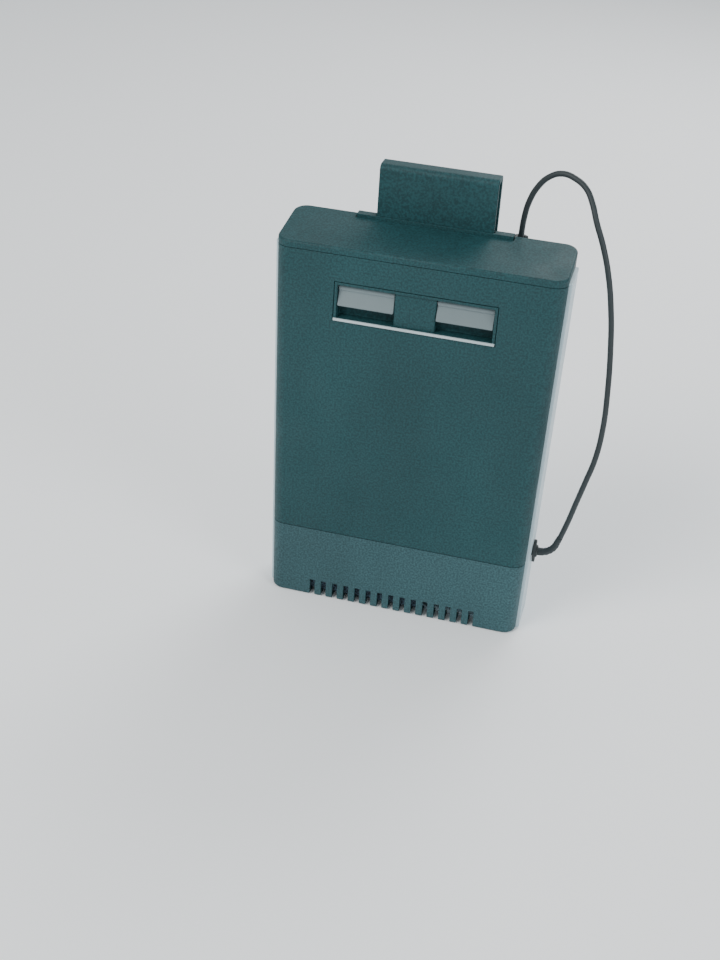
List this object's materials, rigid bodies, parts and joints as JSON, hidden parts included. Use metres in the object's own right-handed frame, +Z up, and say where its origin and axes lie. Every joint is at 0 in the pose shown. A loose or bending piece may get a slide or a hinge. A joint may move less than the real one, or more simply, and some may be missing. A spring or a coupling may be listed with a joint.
{
  "type": "aquarium hang-on box filter",
  "caption": "Slim two-shell aquarium filter box with bottom intake slots, louvred outlet, lift-out media basket, magnetic drive pump and a hook for a glass rim.",
  "frame": {"origin": "middle of the case's flat bottom, half way along its width and its depth", "axes": "+Z up, -Y the front face with the outlet, +Y the rear face that lies against the glass, +X the cord side"},
  "size_m": [0.1739, 0.0925, 0.2476],
  "materials": {
    "dark_shell": "moulded, fine satin texture",
    "pale_shell": "translucent moulded plastic",
    "pale_grey": "smooth moulded plastic",
    "black_plastic": "satin moulded plastic",
    "rubber": "soft rubber",
    "coarse_foam": "open-cell foam",
    "fine_foam": "fibre pad",
    "ceramic": "ground ceramic",
    "steel": "stainless",
    "copper": "enamelled copper wire",
    "magnet": "ground ferrite"
  },
  "bodies": {
    "case": {"rear_housing": "pale_shell", "front_cover": "dark_shell", "intake_base": "dark_shell", "hanger_socket": "dark_shell", "hanger": "dark_shell", "hanger_pad": "rubber", "cord_clip": "black_plastic", "outlet_tray": "dark_shell", "flap_pin": "steel", "prefilter_sponge": "coarse_foam", "pump_cover": "black_plastic", "pump_body": "black_plastic", "motor_cap": "black_plastic", "stator_core": "steel", "stator_coil": "copper", "impeller_shaft": "ceramic", "shaft_bush_front": "rubber", "shaft_bush_rear": "rubber", "riser_seal": "rubber", "riser_pipe": "pale_grey", "cable_gland": "black_plastic", "gland_plate": "black_plastic", "pump_lead": "rubber", "strain_relief": "rubber", "cord_run": "rubber", "cord_coil": "rubber", "coil_tie": "black_plastic", "cord_tail": "rubber", "plug_body": "black_plastic", "plug_pin_near": "steel", "plug_pin_far": "steel", "case_screw_lower_left": "steel", "case_screw_lower_right": "steel", "case_screw_upper_left": "steel", "case_screw_upper_right": "steel", "socket_screw_left": "steel", "socket_screw_right": "steel", "rear_bumper_left": "rubber", "rear_bumper_right": "rubber"},
    "basket": {"media_basket": "black_plastic", "coarse_sponge": "coarse_foam", "media_bag": "fine_foam", "fine_sponge": "fine_foam"},
    "lid": {"lid": "dark_shell"},
    "rotor": {"impeller": "pale_grey", "rotor_magnet": "magnet"},
    "flap_left": {"outlet_flap_left": "pale_grey"},
    "flap_right": {"outlet_flap_right": "pale_grey"}
  },
  "joints": [
    {"name": "basket_lift", "type": "slide", "parent": "case", "child": "basket", "axis": [0, 0, 1], "range_m": [0, 0.16]},
    {"name": "lid_lift", "type": "slide", "parent": "basket", "child": "lid", "axis": [0, 0, 1], "range_m": [0, 0.03]},
    {"name": "rotor_spin", "type": "hinge", "parent": "case", "child": "rotor", "pos_m": [0.035, 0, 0.0269], "axis": [1, 0, 0], "continuous": true},
    {"name": "flap_left_tilt", "type": "hinge", "parent": "case", "child": "flap_left", "pos_m": [-0.025, -0.015, 0.1867], "axis": [-1, 0, 0], "range_deg": [-20, 25]},
    {"name": "flap_right_tilt", "type": "hinge", "parent": "case", "child": "flap_right", "pos_m": [0.025, -0.015, 0.1867], "axis": [-1, 0, 0], "range_deg": [-20, 25]}
  ]
}
